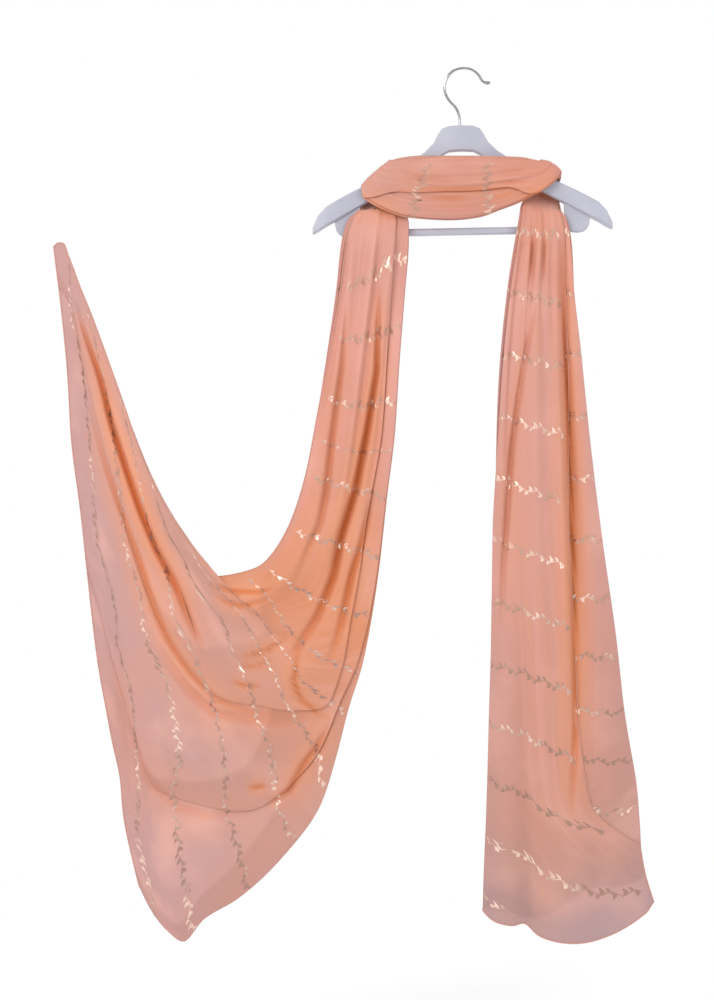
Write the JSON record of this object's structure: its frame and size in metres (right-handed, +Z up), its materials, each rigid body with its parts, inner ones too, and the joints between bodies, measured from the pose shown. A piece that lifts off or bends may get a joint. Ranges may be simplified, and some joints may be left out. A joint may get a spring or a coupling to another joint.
{
  "type": "dupatta stole on a clothes hanger",
  "caption": "Sheer georgette dupatta stole draped over a clothes hanger, one end hanging straight, the other held out to one side in a deep cowl.",
  "frame": {"origin": "inside of the hook's crown, where a rail carries the hanger", "axes": "+Z up, +X to the right as seen from the front, and the front of the hanger and the swag faces -Y"},
  "size_m": [0.8268, 0.0779, 1.209],
  "materials": {
    "cloth": "sheer georgette with thin foil vine stripes across it",
    "moulding": "satin pale lavender moulding",
    "wire": "bright plated steel wire"
  },
  "bodies": {
    "root": {"hanger_body": "moulding", "hanger_bar": "moulding", "hook_wire": "wire", "stole_swag": "cloth", "stole_left_wrap": "cloth", "stole_right_wrap": "cloth", "stole_left_end": "cloth", "stole_right_end": "cloth"}
  },
  "joints": []
}
